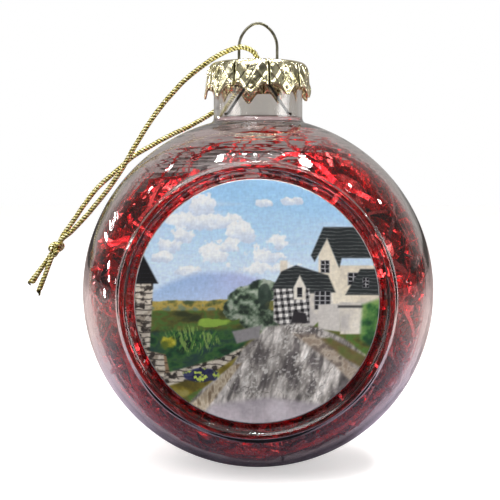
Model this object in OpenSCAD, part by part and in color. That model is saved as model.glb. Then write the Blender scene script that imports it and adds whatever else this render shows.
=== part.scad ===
// Clear Christmas bauble with two flat picture faces, a tinsel filling, a crown cap and a hanging cord.
// Units are millimetres. The bauble stands on its flattened base at z = 0, +Z points up,
// and the front picture faces -Y.

/* [Bauble] */
// Diameter of the clear ball
ball_d = 80; // [70:1:100]
// How much of the ball's bottom is flattened off, so that it stands
base_flat = 0.5; // [0.3:0.1:1]
// Thickness of the clear plastic wall
wall = 1; // [0.8:0.1:1.5]
// Radius of the rounded crest around each picture well
rim_fillet = 1.6; // [1.4:0.1:2.2]
// Radius of the crest's centre line, as a share of the ball's radius
rim_share = 0.701; // [0.68:0.001:0.72]
// Slant of the well's wall
well_draft = 25; // [10:1:35]
// Depth of the well's floor behind the middle of the crest
well_floor_drop = 1.03; // [0.6:0.01:2]
// Outer diameter of the neck
neck_d = 20.3; // [18:0.1:22]
// Thickness of the neck's wall
neck_wall = 1.1; // [0.8:0.1:1.5]
// Radius of the blend between the neck and the ball
neck_blend = 1.4; // [0.8:0.1:2]

/* [Picture discs] */
// Diameter of each printed metal disc
disc_d = 50.8; // [40:0.1:51]
// Thickness of each disc
disc_t = 0.5; // [0.4:0.1:0.8]
// Diameter of the double-sided film behind each disc
film_d = 47; // [38:0.5:50]
// Thickness of that film
film_t = 0.3; // [0.1:0.05:0.4]

/* [Tinsel] */
// Radius of the tinsel ring's centre line
tinsel_ring_r = 30.6; // [28:0.1:31]
// Thickness of the tinsel ring
tinsel_t = 14.4; // [8:0.2:15]
// Angle left empty under the neck
tinsel_gap = 70; // [60:5:120]

/* [Crown cap] */
// Height of the cap's top plate above the base
cap_top = 91.5; // [90:0.1:93]
// Diameter of the cap at its top edge
cap_top_d = 22.4; // [22:0.1:23]
// Diameter of the cap across the points of its skirt
cap_skirt_d = 24; // [23.5:0.1:25]
// Height of the skirt from its points to the top plate
cap_h = 8.1; // [7:0.1:9]
// Height of the points
point_h = 2.3; // [1.5:0.1:3]
// Width of each point where it leaves the skirt
point_w = 3; // [2:0.1:4]
// Width of each point at its blunt tip
point_tip_w = 0.5; // [0.3:0.1:1]
// Number of points around the skirt
points = 9; // [8:1:12]
// Turn of the first point from the front, clockwise from above
first_point = 7; // [0:1:40]
// Thickness of the cap's metal
cap_t = 0.3; // [0.2:0.05:0.4]
// Radius of the cap's rounded top edge
cap_edge_r = 1.2; // [0.8:0.1:1.5]
// Diameter of each hole for the hanger wire
wire_hole_d = 1.25; // [1:0.05:1.5]

/* [Hanger wire] */
// Diameter of the wire
wire_d = 0.65; // [0.5:0.05:0.8]
// Height of the loop's top, at the wire's centre
loop_top = 100.7; // [100:0.1:102]
// Bend radius at the top of the loop
loop_top_r = 2.9; // [2.5:0.1:3]
// Half of the distance between the two posts
post_x = 4.36; // [4:0.02:4.6]
// Height at which the loop's sides become straight posts
post_top = 95.2; // [95:0.1:95.6]
// Lean of the sprung legs from the vertical
leg_lean = 34; // [30:1:36]
// Length of each leg's straight stretch
leg_l = 8; // [6:0.5:8.5]

/* [Cord] */
// Diameter of the twisted cord
cord_d = 1.15; // [1:0.05:1.2]
// Diameter of the knot
knot_d = 3.4; // [3:0.1:4]
// Length of the knot
knot_l = 4.6; // [4:0.1:5]

/* [Hidden] */
$fn = 96;

ball_r = ball_d / 2;
ball_z = ball_r - base_flat;
rim_dist = ball_r - rim_fillet;              // ball's centre to the centre of the rounded crest
rim_r = ball_r * rim_share;
rim_y = sqrt(rim_dist * rim_dist - rim_r * rim_r);
rim_angle = atan2(rim_y, rim_r);
floor_y = rim_y - well_floor_drop;           // outside face of each well's floor
rim_steps = 8;

cap_low = cap_top - cap_h;
cap_gap = 0.05;                              // air under the cap's top plate
neck_r = neck_d / 2;
neck_top = cap_top - cap_t - cap_gap;
neck_foot = ball_z + sqrt(ball_r * ball_r - neck_r * neck_r);
blend_steps = 6;
film_y = floor_y;
disc_y = floor_y + film_t;

post_l = post_top - (cap_top - cap_t) + 0.3; // the posts end just under the top plate
loop_drop = loop_top - post_top;
bend_swell = 1.04;                           // the wire is a little thicker where each bend starts
// the side bends meet the top bend and the posts smoothly
loop_side_r = (loop_drop * loop_drop - 2 * loop_drop * loop_top_r + post_x * post_x)
    / (2 * (post_x - loop_top_r));
loop_top_turn = atan2(loop_side_r - post_x, loop_drop - loop_top_r);

cord_sides = 8;
// Each strand starts in the hanger's eye and ends at the knot; x, y, z by hand.
eye_point = [0.3, 1.2, 92.4];
front_route = [
    eye_point, [-0.3, 0, 93.1], [-1, -0.8, 94.1], [-2.3, -1.3, 94.8], [-4.2, -1.6, 95.1],
    [-7.3, -2.2, 94], [-10.3, -2.8, 92.3], [-12.8, -3.2, 90.5], [-15.2, -3.5, 88.6],
    [-17.3, -3.7, 86.7], [-19.2, -3.8, 84.6], [-20.9, -3.9, 82.7], [-22.4, -4, 80.8],
    [-24.1, -4, 78.5], [-25.7, -3.9, 76.1], [-27.4, -3.7, 73.4], [-29, -3.4, 70.8],
    [-31, -2.9, 67.4], [-33.5, -2.3, 63.9], [-35.4, -1.9, 61.5], [-37.2, -1.6, 59.4],
    [-39.2, -1.3, 57.1], [-41.2, -1.1, 55], [-43.2, -0.9, 53], [-45.2, -0.7, 51.4]
];
back_route = [
    eye_point, [0.2, 3.5, 92.2], [-0.3, 6, 92.2], [-1, 8.6, 92.2], [-2, 10.8, 92],
    [-3.1, 12.3, 90.5], [-4.4, 12.9, 88.6], [-5.8, 12.8, 86.6], [-7.4, 12, 84.6],
    [-9, 10.8, 82.8], [-11, 9.2, 81.1], [-12.9, 8, 79.8], [-15, 7, 78.5], [-17.1, 6.1, 77.3],
    [-19.2, 5.4, 76.3], [-21.3, 4.8, 75.2], [-23.3, 4.2, 74.1], [-25.1, 3.7, 73],
    [-27, 3.2, 71.9], [-28.9, 2.7, 70.7], [-30.6, 2.3, 69.3], [-32.3, 2, 67.7],
    [-34.4, 1.7, 65.9], [-36, 1.5, 64.5], [-37.5, 1.3, 63], [-38.8, 1.2, 61.4],
    [-40, 1.1, 59.8], [-41.2, 1, 58.1], [-42.4, 0.9, 56.3], [-43.8, 0.8, 54.3], [-45.1, 0.7, 52.5]
];
knot_tip = [-48.2, 0, 47.4];
knot_lean = 38;                              // from the vertical, down and to the left
left_tail_route = [[-48, 0.7, 48], [-49.4, 0.8, 46], [-50.8, 0.9, 44.1], [-52.1, 0.9, 42.3], [-53.2, 0.8, 40.6]];
right_tail_route = [[-47.6, -0.7, 47.4], [-48.5, -0.9, 45], [-49.3, -1, 42.8], [-50.2, -1, 40.6], [-51, -0.9, 38.5]];

function unit(v) = v / norm(v);
function upright(v, along) = unit(v - (v * along) * along);
function route_direction(route, i) =
    unit(route[min(i + 1, len(route) - 1)] - route[max(i - 1, 0)]);
function carried_sides(route, side, i = 0) =
    i == len(route) ? []
    : let (next = upright(side, route_direction(route, i)))
        concat([next], carried_sides(route, next, i + 1));

// Everything in front of a well's floor, its wall and its rounded crest, out to beyond the ball
function well_outline(inset) =
    let (r = rim_fillet - inset,
         foot_y = floor_y - inset,
         wall_top = [rim_r - r * cos(well_draft), rim_y + r * sin(well_draft)],
         wall_foot_x = wall_top[0] - (wall_top[1] - foot_y) * tan(well_draft),
         beyond = ball_d)
    concat(
        [[0, beyond], [0, foot_y], [wall_foot_x, foot_y]],
        [for (i = [rim_steps:-1:0])
            let (a = rim_angle + (180 - well_draft - rim_angle) * i / rim_steps)
            [rim_r + r * cos(a), rim_y + r * sin(a)]],
        [beyond * [cos(rim_angle), sin(rim_angle)]]
    );

module ball_with_wells(inset) {
    translate([0, 0, ball_z]) difference() {
        sphere(r = ball_r - inset);
        for (side = [-90, 90]) rotate([side, 0, 0]) rotate_extrude() polygon(well_outline(inset));
    }
}

module neck_outside() {
    sink = 1.5;
    rotate_extrude() polygon(concat(
        [[0, neck_foot - sink], [neck_r + neck_blend, neck_foot - sink]],
        [for (i = [0:blend_steps])
            let (a = 90 * i / blend_steps)
            [neck_r + neck_blend * (1 - sin(a)), neck_foot - 0.35 + neck_blend * (1 - cos(a))]],
        [[neck_r, neck_top], [0, neck_top]]
    ));
}

module bauble_body() {
    tall = cap_top + 10;
    color([0.86, 0.84, 0.88, 0.35]) difference() {
        union() {
            intersection() {
                ball_with_wells(0);
                translate([-ball_r, -ball_r, 0]) cube([ball_d, ball_d, tall]);
            }
            neck_outside();
        }
        intersection() {
            ball_with_wells(wall);
            translate([-ball_r, -ball_r, wall]) cube([ball_d, ball_d, tall]);
        }
        translate([0, 0, ball_z]) cylinder(r = neck_r - neck_wall, h = tall);
    }
}

module flat_disc(side, near_y, d, t) {
    translate([0, side * near_y, ball_z]) rotate([-90 * side, 0, 0]) cylinder(d = d, h = t);
}

module front_film() { color("white") flat_disc(-1, film_y, film_d, film_t); }
module back_film() { color("white") flat_disc(1, film_y, film_d, film_t); }
module front_disc() { color([0.6, 0.72, 0.85]) flat_disc(-1, disc_y, disc_d, disc_t); }
module back_disc() { color([0.6, 0.72, 0.85]) flat_disc(1, disc_y, disc_d, disc_t); }

module tinsel_filling() {
    color([0.65, 0.03, 0.07]) translate([0, 0, ball_z]) rotate([90, 0, 0])
        rotate([0, 0, 90 + tinsel_gap / 2]) rotate_extrude(angle = 360 - tinsel_gap)
            translate([tinsel_ring_r, 0]) circle(d = tinsel_t);
}

// Half of a cap's cross-section, filled in from the axis down to a level at or under the skirt's points
function cap_outline(inset, level) =
    let (corner = [cap_top_d / 2 - cap_edge_r, cap_top - cap_edge_r],
         skirt_r = cap_skirt_d / 2 - inset)
    concat(
        [[0, level], [0, cap_top - inset]],
        [for (a = [90:-15:0]) corner + (cap_edge_r - inset) * [cos(a), sin(a)]],
        [[skirt_r, cap_low], [skirt_r, level]]
    );

// Cuts away the metal between two neighbouring points
module skirt_notch() {
    half_step = cap_skirt_d / 2 * sin(180 / points);
    half_top = half_step - point_w / 2;
    half_low = half_step - point_tip_w / 2;
    below = 1;
    rotate([90, 0, 0]) linear_extrude(height = cap_skirt_d) polygon([
        [-half_top, cap_low + point_h], [half_top, cap_low + point_h],
        [half_low, cap_low - below], [-half_low, cap_low - below]
    ]);
}

module crown_cap() {
    step = 360 / points;
    color([0.87, 0.84, 0.66]) difference() {
        rotate_extrude() difference() {
            polygon(cap_outline(0, cap_low));
            polygon(cap_outline(cap_t, cap_low - 1));
        }
        for (i = [0:points - 1]) rotate([0, 0, -first_point + step * (i + 0.5)]) skirt_notch();
        for (side = [-1, 1]) translate([side * post_x, 0, cap_top - 2 * cap_t])
            cylinder(d = wire_hole_d, h = 3 * cap_t, $fn = 32);
    }
}

// Wire laid from step to step: each step is a straight length, then a bend of a radius and a turn
module wire_run(steps, i = 0) {
    if (i < len(steps)) {
        length = steps[i][0];
        bend_r = steps[i][1];
        turn = steps[i][2];
        sphere(d = wire_d * bend_swell, $fn = 24);
        if (length > 0) cylinder(d = wire_d, h = length, $fn = 24);
        translate([0, 0, length]) {
            sphere(d = wire_d * bend_swell, $fn = 24);
            if (turn != 0) rotate([0, 0, turn < 0 ? 180 : 0]) translate([bend_r, 0, 0])
                rotate([90, 0, 0]) rotate([0, 0, 180 - abs(turn)]) rotate_extrude(angle = abs(turn))
                    translate([bend_r, 0]) circle(d = wire_d, $fn = 24);
            translate([sign(turn) * bend_r * (1 - cos(turn)), 0, bend_r * sin(abs(turn))])
                rotate([0, turn, 0]) wire_run(steps, i + 1);
        }
    }
}

module hanger_wire() {
    waist_lean = 36;
    half_loop = [
        [0, loop_top_r, loop_top_turn],
        [0, loop_side_r, 90 - loop_top_turn],
        [post_l, 1, waist_lean],
        [3, 0.8, -waist_lean - leg_lean],
        [leg_l, 0.5, -50],
        [0.5, 0, 0]
    ];
    color([0.3, 0.29, 0.24]) for (side = [0, 180]) rotate([0, 0, side])
        translate([0, 0, loop_top]) rotate([0, 90, 0]) wire_run(half_loop);
}

module cord_tube(route, start_side) {
    sides = carried_sides(route, start_side);
    rings = len(route);
    corners = [for (i = [0:rings - 1])
        let (along = route_direction(route, i), across = cross(along, sides[i]))
        for (k = [0:cord_sides - 1])
            let (a = 360 * k / cord_sides)
            route[i] + cord_d / 2 * (cos(a) * sides[i] + sin(a) * across)];
    walls = [for (i = [0:rings - 2], k = [0:cord_sides - 1])
        let (j = (k + 1) % cord_sides, low = i * cord_sides, high = low + cord_sides)
        [low + k, high + k, high + j, low + j]];
    first_end = [for (k = [0:cord_sides - 1]) k];
    last_end = [for (k = [cord_sides - 1:-1:0]) (rings - 1) * cord_sides + k];
    polyhedron(points = corners, faces = concat(walls, [first_end, last_end]), convexity = 4);
}

module cord_front_strand() { color([0.76, 0.66, 0.25]) cord_tube(front_route, [1, 0, 0]); }
module cord_back_strand() { color([0.76, 0.66, 0.25]) cord_tube(back_route, [1, 0, 0]); }
module cord_tail_left() { color([0.76, 0.66, 0.25]) cord_tube(left_tail_route, [0, 1, 0]); }
module cord_tail_right() { color([0.76, 0.66, 0.25]) cord_tube(right_tail_route, [0, 1, 0]); }

module cord_knot() {
    color([0.72, 0.62, 0.22]) translate(knot_tip) rotate([0, knot_lean, 0]) hull() {
        translate([0, 0, knot_d * 0.4]) sphere(d = knot_d * 0.8, $fn = 32);
        translate([0, 0, knot_l / 2]) sphere(d = knot_d, $fn = 32);
        translate([0, 0, knot_l - knot_d * 0.4]) sphere(d = knot_d * 0.8, $fn = 32);
    }
}

bauble_body();
front_film();
front_disc();
back_film();
back_disc();
tinsel_filling();
crown_cap();
hanger_wire();
cord_front_strand();
cord_back_strand();
cord_knot();
cord_tail_left();
cord_tail_right();
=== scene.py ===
"""Looks of a clear Christmas bauble with printed picture discs, red tinsel, a crown cap and a gold cord.

Everything is in metres in the CAD frame: the bauble stands on z = 0 and its front picture faces -Y.
"""

import math

import bmesh
import bpy
import numpy as np
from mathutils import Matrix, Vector


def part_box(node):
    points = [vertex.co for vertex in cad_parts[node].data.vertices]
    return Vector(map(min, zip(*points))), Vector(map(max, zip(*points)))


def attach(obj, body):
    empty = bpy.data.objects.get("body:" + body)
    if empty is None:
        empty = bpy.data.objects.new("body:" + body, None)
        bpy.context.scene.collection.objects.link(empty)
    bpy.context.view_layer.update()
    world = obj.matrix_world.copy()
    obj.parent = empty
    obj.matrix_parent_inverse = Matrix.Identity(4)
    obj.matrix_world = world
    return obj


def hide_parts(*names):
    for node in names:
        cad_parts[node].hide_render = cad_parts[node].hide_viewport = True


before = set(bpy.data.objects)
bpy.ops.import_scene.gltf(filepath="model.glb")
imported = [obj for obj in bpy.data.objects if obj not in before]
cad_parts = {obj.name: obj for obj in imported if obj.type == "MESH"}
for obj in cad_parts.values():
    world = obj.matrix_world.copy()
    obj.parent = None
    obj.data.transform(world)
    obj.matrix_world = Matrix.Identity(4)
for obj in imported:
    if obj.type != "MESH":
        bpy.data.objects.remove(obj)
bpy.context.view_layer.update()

MM = 0.001
UP = np.array([0.0, 0.0, 1.0])

# ---------------------------------------------------------------- sizes read from the CAD nodes
body_low, body_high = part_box("bauble_body")
disc_low, disc_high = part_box("front_disc")
film_low, film_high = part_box("front_film")
cap_low_corner, cap_high_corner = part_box("crown_cap")
wire_low, wire_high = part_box("hanger_wire")

BALL_R = body_high.x
BALL_Z = (disc_low.z + disc_high.z) / 2
BALL_CENTRE = np.array([0.0, 0.0, BALL_Z])
NECK_TOP = body_high.z
FLOOR_Y = -film_high.y
DISC_BACK_Y = -disc_high.y
DISC_FACE_Y = -disc_low.y
DISC_R = (disc_high.x - disc_low.x) / 2
CAP_TOP = cap_high_corner.z
CAP_LOW = cap_low_corner.z
WIRE_R = 0.325 * MM
LOOP_TOP = wire_high.z - WIRE_R

# ---------------------------------------------------------------- sizes that the CAD source holds
WALL = 1.0 * MM
RIM_FILLET = 1.6 * MM
RIM_SHARE = 0.701
WELL_DRAFT = math.radians(25)
NECK_R = 10.15 * MM
BORE_R = 9.05 * MM
NECK_BLEND = 1.4 * MM
RIM_R = BALL_R * RIM_SHARE
RIM_Y = math.sqrt((BALL_R - RIM_FILLET) ** 2 - RIM_R ** 2)
RIM_ANGLE = math.atan2(RIM_Y, RIM_R)


# ---------------------------------------------------------------- small helpers
def linked_object(name, mesh):
    made = bpy.data.objects.new(name, mesh)
    bpy.context.scene.collection.objects.link(made)
    return made


def mesh_piece(name, points, faces, material, smooth=True):
    """A mesh object made of points in metres and faces, with one material."""
    mesh = bpy.data.meshes.new(name)
    mesh.from_pydata(np.asarray(points).tolist(), [], faces)
    mesh.polygons.foreach_set("use_smooth", [smooth] * len(mesh.polygons))
    mesh.materials.append(material)
    mesh.update()
    return linked_object(name, mesh)


def face_outwards(piece):
    work = bmesh.new()
    work.from_mesh(piece.data)
    bmesh.ops.recalc_face_normals(work, faces=work.faces)
    work.to_mesh(piece.data)
    work.free()


def ring_faces(low_ring, high_ring):
    """Quads between two closed rings of vertex numbers."""
    count = len(low_ring)
    return [(low_ring[i], low_ring[(i + 1) % count], high_ring[(i + 1) % count], high_ring[i])
            for i in range(count)]


def unit(vectors):
    vectors = np.asarray(vectors, float)
    return vectors / np.linalg.norm(vectors, axis=-1, keepdims=True)


def ramp(value, low, high):
    """0 below low, 1 above high, and smooth between them."""
    share = np.clip((value - low) / (high - low), 0, 1)
    return share * share * (3 - 2 * share)


def smooth_noise(x, z, seed):
    """Noise from 0 to 1 with one feature for each unit of x and z."""
    size = 64
    table = np.random.default_rng(seed).random((size, size))
    column, row = np.floor(x).astype(int), np.floor(z).astype(int)
    right, up = ramp(x - column, 0, 1), ramp(z - row, 0, 1)
    low = table[column % size, row % size] * (1 - right) + table[(column + 1) % size, row % size] * right
    high = (table[column % size, (row + 1) % size] * (1 - right)
            + table[(column + 1) % size, (row + 1) % size] * right)
    return low * (1 - up) + high * up


def cloudy(x, z, scale, seed, octaves=4):
    """Several layers of smooth noise, each twice as fine and half as strong as the one before."""
    total = sum(smooth_noise(x * scale * 2 ** o, z * scale * 2 ** o, seed + o) / 2 ** o
                for o in range(octaves))
    return total / sum(1 / 2 ** o for o in range(octaves))


# ---------------------------------------------------------------- material helpers
def node(tree, kind, inputs=None, **settings):
    made = tree.nodes.new(kind)
    for name, value in settings.items():
        setattr(made, name, value)
    fill_inputs(tree, made, inputs or {})
    return made


def fill_inputs(tree, made, inputs):
    for name, value in inputs.items():
        if isinstance(value, bpy.types.NodeSocket):
            tree.links.new(value, made.inputs[name])
        else:
            made.inputs[name].default_value = value


def new_material(name, inputs):
    """A material with one Principled shader; returns the material, its tree and the shader."""
    material = bpy.data.materials.new(name)
    material.use_nodes = True
    tree = material.node_tree
    tree.nodes.clear()
    shader = node(tree, "ShaderNodeBsdfPrincipled", inputs)
    out = node(tree, "ShaderNodeOutputMaterial")
    tree.links.new(shader.outputs["BSDF"], out.inputs["Surface"])
    return material, tree, shader


def object_place(tree, stretch=(1, 1, 1)):
    place = node(tree, "ShaderNodeTexCoord").outputs["Object"]
    if stretch == (1, 1, 1):
        return place
    return node(tree, "ShaderNodeMapping", {"Vector": place, "Scale": stretch}).outputs["Vector"]


def noise(tree, scale, detail=3.0, stretch=(1, 1, 1)):
    inputs = {"Vector": object_place(tree, stretch), "Scale": scale, "Detail": detail}
    return node(tree, "ShaderNodeTexNoise", inputs).outputs["Fac"]


def colour_ramp(tree, value, stops):
    """Colours along a value; stops are (place, (red, green, blue)) in linear light."""
    made = node(tree, "ShaderNodeValToRGB", {"Fac": value})
    elements = made.color_ramp.elements
    while len(elements) < len(stops):
        elements.new(0.5)
    for element, (place, colour) in zip(elements, stops):
        element.position = place
        element.color = (*colour, 1)
    return made.outputs["Color"]


def value_ramp(tree, value, low, high, to_low, to_high):
    inputs = {"Value": value, "From Min": low, "From Max": high, "To Min": to_low, "To Max": to_high}
    return node(tree, "ShaderNodeMapRange", inputs).outputs["Result"]


def multiply(tree, first, second):
    """The product of two colours."""
    made = node(tree, "ShaderNodeMix", {0: 1.0, 6: first, 7: second}, data_type="RGBA",
                blend_type="MULTIPLY")
    return made.outputs[2]


def height_above_base(tree):
    return node(tree, "ShaderNodeSeparateXYZ", {"Vector": object_place(tree)}).outputs["Z"]


def switch_by_ray(tree, ray, usual, special):
    """One shader for most rays and another for one kind of ray."""
    is_special = node(tree, "ShaderNodeLightPath").outputs[ray]
    mixed = node(tree, "ShaderNodeMixShader", {0: is_special, 1: usual, 2: special})
    return mixed.outputs[0]


def set_surface(tree, shader):
    out = [n for n in tree.nodes if n.type == "OUTPUT_MATERIAL"][0]
    tree.links.new(shader, out.inputs["Surface"])


def bump(tree, height, distance, strength=1.0):
    inputs = {"Height": height, "Distance": distance, "Strength": strength}
    return node(tree, "ShaderNodeBump", inputs).outputs["Normal"]


# ---------------------------------------------------------------- camera, light and floor
CAMERA_PLACE = (0.0026, -0.240, 0.0615)
CAMERA_TARGET = (-0.00184, 0, 0.0489)
CAMERA_LENS = 74.95  # millimetres


def make_camera():
    data = bpy.data.cameras.new("camera")
    data.lens = CAMERA_LENS
    data.sensor_width = 36
    data.clip_start = 0.01
    camera = bpy.data.objects.new("camera", data)
    bpy.context.scene.collection.objects.link(camera)
    camera.location = CAMERA_PLACE
    towards = Vector(CAMERA_TARGET) - camera.location
    camera.rotation_euler = towards.to_track_quat("-Z", "Y").to_euler()
    bpy.context.scene.camera = camera


# turn and angle from the view in degrees, size in metres and power in watts
CEILING_LAMPS = ((-17, 98, 0.05, 0.36), (-11, 98, 0.016, 0.10), (-6, 98, 0.016, 0.10),
                 (-1, 98, 0.016, 0.10), (5, 98, 0.016, 0.10), (11, 98, 0.016, 0.10), (21, 98, 0.08, 0.75),
                 (22, 80, 0.05, 1.0), (14, 80, 0.014, 0.06), (9, 80, 0.014, 0.06), (4, 80, 0.014, 0.06),
                 (-1, 80, 0.014, 0.06))

# turn and angle from the view in degrees, width and height in metres, and power in watts
SPARKLE_LAMPS = (
    (-66, 124, 0.08, 0.008, 0.14), (-70, 124, 0.08, 0.008, 0.14), (-74, 124, 0.08, 0.008, 0.14),
    (-7, 134, 0.014, 0.014, 0.07), (-2, 136, 0.020, 0.014, 0.08), (3, 134, 0.014, 0.014, 0.07),
    (-82, 109, 0.014, 0.030, 0.09), (-87, 106, 0.014, 0.024, 0.08), (-93, 110, 0.012, 0.030, 0.08),
    (-104, 104, 0.014, 0.020, 0.07), (117, 109, 0.012, 0.050, 0.14), (122, 106, 0.010, 0.030, 0.08),
    (98, 100, 0.014, 0.020, 0.07), (55, 112, 0.014, 0.020, 0.07), (42, 100, 0.016, 0.016, 0.07),
    (-38, 112, 0.014, 0.030, 0.08), (-48, 108, 0.012, 0.020, 0.07), (-130, 100, 0.014, 0.020, 0.07))


LAMP_SHAPE = 0.7  # a ceiling lamp's height as a share of its width
CEILING_DISTANCE = 0.60
SPARKLE_DISTANCE = 0.55


def around_view(turn, from_view, distance):
    """A place round the bauble: turn is clockwise from straight up, from_view is away from the front."""
    turn, from_view = math.radians(turn), math.radians(from_view)
    across = distance * math.sin(from_view)
    return (across * math.sin(turn), -distance * math.cos(from_view), BALL_Z + across * math.cos(turn))


def area_light(name, place, target, size, power, colour=(1, 1, 1)):
    data = bpy.data.lights.new(name, "AREA")
    data.shape = "ELLIPSE"
    data.size, data.size_y = size
    data.energy = power
    data.color = colour
    lamp = bpy.data.objects.new(name, data)
    bpy.context.scene.collection.objects.link(lamp)
    lamp.location = place
    lamp.rotation_euler = (Vector(target) - Vector(place)).to_track_quat("-Z", "Y").to_euler()


def make_lights():
    middle = (0, 0, BALL_Z)
    area_light("front_softbox", around_view(-22, 48, 0.70), middle, (0.40, 0.40), 1.7)
    area_light("right_softbox", around_view(78, 72, 0.50), middle, (0.28, 0.28), 0.85)
    area_light("left_softbox", around_view(-80, 74, 0.50), middle, (0.28, 0.28), 0.35)
    for i, (turn, from_view, size, power) in enumerate(CEILING_LAMPS):
        place = around_view(turn, from_view, CEILING_DISTANCE)
        area_light(f"ceiling_lamp_{i}", place, middle, (size, size * LAMP_SHAPE), power)
    for i, (turn, from_view, width, height, power) in enumerate(SPARKLE_LAMPS):
        place = around_view(turn, from_view, SPARKLE_DISTANCE)
        area_light(f"sparkle_lamp_{i}", place, middle, (width, height), power)
    area_light("window", around_view(-1, 62, 0.60), middle, (0.09, 0.05), 0.5)
    sun = bpy.data.lights.new("soft_sky", "SUN")
    sun.energy = 0.75
    sun.angle = math.radians(70)
    lamp = bpy.data.objects.new("soft_sky", sun)
    bpy.context.scene.collection.objects.link(lamp)
    lamp.rotation_euler = (math.radians(20), math.radians(-12), 0)


MIRRORED_ROOM = 0.46  # brightness of the room in a first reflection


def make_world():
    """A white backdrop for the camera, and a soft grey room for what the plastic bends and mirrors."""
    world = bpy.data.worlds.new("studio")
    bpy.context.scene.world = world
    world.use_nodes = True
    tree = world.node_tree
    tree.nodes.clear()
    direction = node(tree, "ShaderNodeTexCoord").outputs["Generated"]
    parts = node(tree, "ShaderNodeSeparateXYZ", {"Vector": direction}).outputs
    front = colour_ramp(tree, value_ramp(tree, parts["Y"], -1, 1, 0, 1), [
        (0.0, (0.10, 0.10, 0.10)), (0.05, (0.14, 0.14, 0.14)), (0.10, (0.60, 0.59, 0.58)),
        (0.50, (0.44, 0.42, 0.41)), (0.72, (0.22, 0.20, 0.19))])
    back = colour_ramp(tree, value_ramp(tree, parts["Z"], 0.062, 0.078, 0, 1), [
        (0.0, (0.17, 0.15, 0.14)), (1.0, (0.92, 0.88, 0.84))])
    behind = value_ramp(tree, parts["Y"], 0.44, 0.76, 0, 1)
    room = node(tree, "ShaderNodeMix", {0: behind, 6: front, 7: back}, data_type="RGBA").outputs[2]
    backdrop = node(tree, "ShaderNodeBackground", {"Color": (1, 1, 1, 1), "Strength": 1.0})
    # mirrored once, the room looks dimmer, so that the plastic keeps its depth
    mirrored = node(tree, "ShaderNodeLightPath").outputs["Is Glossy Ray"]
    strength = value_ramp(tree, mirrored, 0, 1, 1.0, MIRRORED_ROOM)
    around = node(tree, "ShaderNodeBackground", {"Color": room, "Strength": strength})
    surface = switch_by_ray(tree, "Is Camera Ray", around.outputs[0], backdrop.outputs[0])
    node(tree, "ShaderNodeOutputWorld", {"Surface": surface})


FLOOR_R = 6.0
FLOOR_GAP = 0.02 * MM


def make_floor():
    """A pale floor, with painted shade for the rays that the plastic bends and mirrors: darker to them, most
    of all near the bauble and in front of it.
    """
    material, tree, pale = new_material("pale_floor", {
        "Roughness": 0.9, "Emission Color": (1, 1, 1, 1), "Emission Strength": 0.42})
    grain = noise(tree, 40, 2)
    tone = colour_ramp(tree, grain, [(0.0, (0.86, 0.86, 0.86)), (1.0, (0.9, 0.9, 0.9))])
    fill_inputs(tree, pale, {"Base Color": tone})
    # painted shade: to those rays the floor is darker near the bauble and much darker in front of it
    away = node(tree, "ShaderNodeVectorMath", {0: object_place(tree)}, operation="LENGTH")
    shade = colour_ramp(tree, value_ramp(tree, away.outputs["Value"], 0.03, 0.16, 0, 1), [
        (0.0, (0.30, 0.27, 0.35)), (1.0, (0.47, 0.39, 0.38))])
    forward = node(tree, "ShaderNodeSeparateXYZ", {"Vector": object_place(tree)}).outputs["Y"]
    shade = multiply(tree, shade, colour_ramp(tree, value_ramp(tree, forward, -0.05, 0.02, 0, 1), [
        (0.0, (0.25, 0.25, 0.25)), (1.0, (1.0, 1.0, 1.0))]))
    darker = node(tree, "ShaderNodeBsdfDiffuse", {"Color": shade})
    set_surface(tree, switch_by_ray(tree, "Is Camera Ray", darker.outputs[0], pale.outputs[0]))
    turns = np.arange(64) * math.tau / 64
    points = [(FLOOR_R * math.cos(a), FLOOR_R * math.sin(a), 0) for a in turns]
    floor = mesh_piece("floor", points, [tuple(range(len(points)))], material)
    floor.location.z = -FLOOR_GAP


bpy.context.scene.view_settings.view_transform = "Standard"
make_camera()
make_world()
make_lights()
make_floor()

# ---------------------------------------------------------------- gold cord
CORD_D = 1.15 * MM
PLY_COUNT = 4
PLY_R = 0.27 * MM
PLY_CENTRE_R = 0.32 * MM
PLY_PITCH = 1.5 * MM
PLY_SIDES = 8
DARK_PLY = 0.42  # brightness of every second ply
CORD_STEP = 0.13 * MM

EYE_POINT = (0.0003, 0.0012, 0.0924)
FRONT_ROUTE = [
    EYE_POINT, (-0.0003, 0, 0.0931), (-0.001, -0.0008, 0.0941), (-0.0023, -0.0013, 0.0948),
    (-0.0042, -0.0016, 0.0951), (-0.0073, -0.0022, 0.094), (-0.0103, -0.0028, 0.0923),
    (-0.0128, -0.0032, 0.0905), (-0.0152, -0.0035, 0.0886), (-0.0173, -0.0037, 0.0867),
    (-0.0192, -0.0038, 0.0846), (-0.0209, -0.0039, 0.0827), (-0.0224, -0.004, 0.0808),
    (-0.0241, -0.004, 0.0785), (-0.0257, -0.0039, 0.0761), (-0.0274, -0.0037, 0.0734),
    (-0.029, -0.0034, 0.0708), (-0.031, -0.0029, 0.0674), (-0.0335, -0.0023, 0.0639),
    (-0.0354, -0.0019, 0.0615), (-0.0372, -0.0016, 0.0594), (-0.0392, -0.0013, 0.0571),
    (-0.0412, -0.0011, 0.055), (-0.0432, -0.0009, 0.053), (-0.0452, -0.0007, 0.0514)]
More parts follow.
